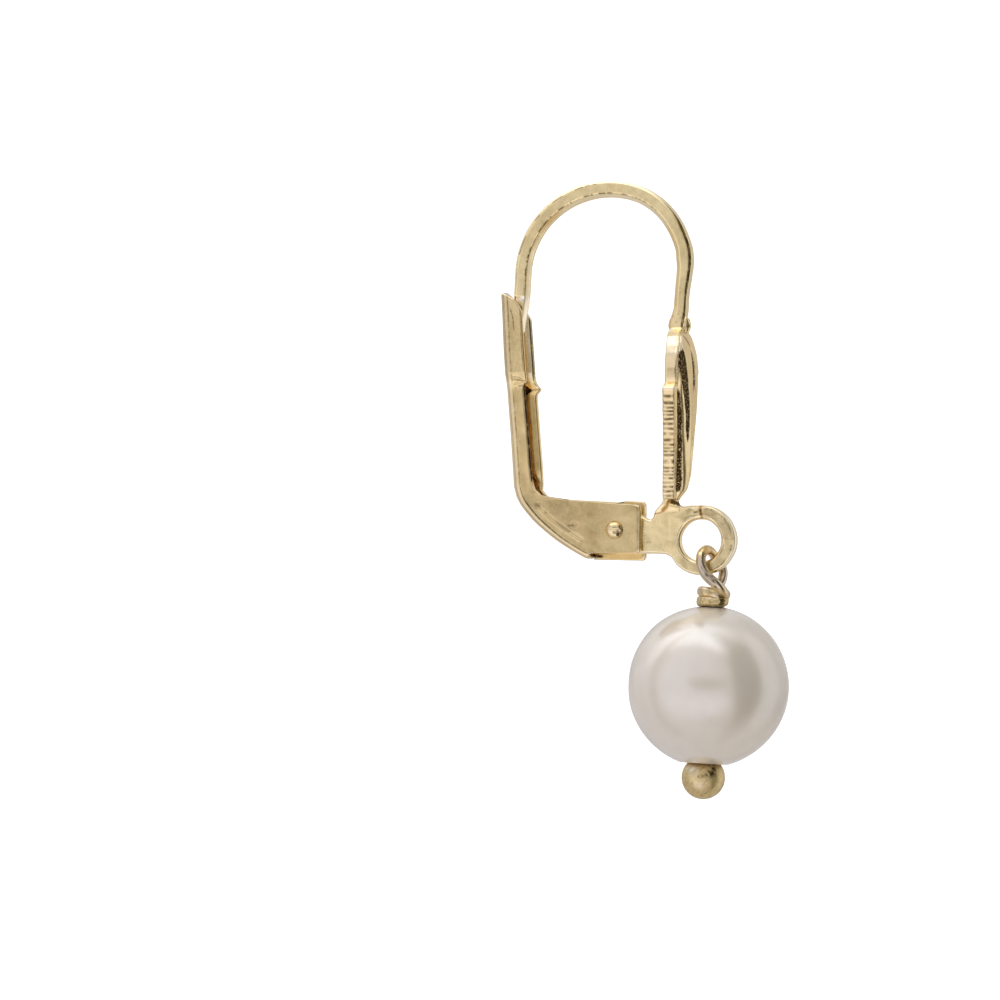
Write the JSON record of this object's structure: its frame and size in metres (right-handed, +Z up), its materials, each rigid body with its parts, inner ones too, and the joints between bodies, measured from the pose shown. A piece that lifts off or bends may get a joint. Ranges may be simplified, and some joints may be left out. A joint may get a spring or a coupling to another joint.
{
  "type": "pearl drop leverback earring",
  "caption": "Hinged leverback earring: a bent wire with a ribbed shell front, a sheet lever that closes on the wire's tip, and a round pearl on a wrapped head pin.",
  "frame": {"origin": "underside of the ear wire's crown, where the earring hangs in the ear lobe", "axes": "+Z up along the hanging earring, the shell faces -Y, the lever is on the +Y side, X is across the earring"},
  "size_m": [0.008, 0.0145, 0.0307],
  "materials": {
    "hook_gold": "pale gold plate, polished, with fine sandy texture in the grooves",
    "lever_gold": "pale gold plate, polished sheet",
    "pin_gold": "satin gold wire",
    "pearl": "pearl lustre, faintly pink"
  },
  "bodies": {
    "hook": {"ear_hook": "hook_gold"},
    "lever": {"lever": "lever_gold", "rivet": "lever_gold"},
    "drop": {"head_pin": "pin_gold", "pearl": "pearl"}
  },
  "joints": [
    {"name": "lever_hinge", "type": "hinge", "parent": "hook", "child": "lever", "pos_m": [0, -0.00067, -0.01658], "axis": [-1, 0, 0], "range_deg": [0, 70]},
    {"name": "drop_swing", "type": "hinge", "parent": "hook", "child": "drop", "pos_m": [0, -0.00522, -0.01758], "axis": [1, 0, 0], "range_deg": [-75, 28]}
  ]
}
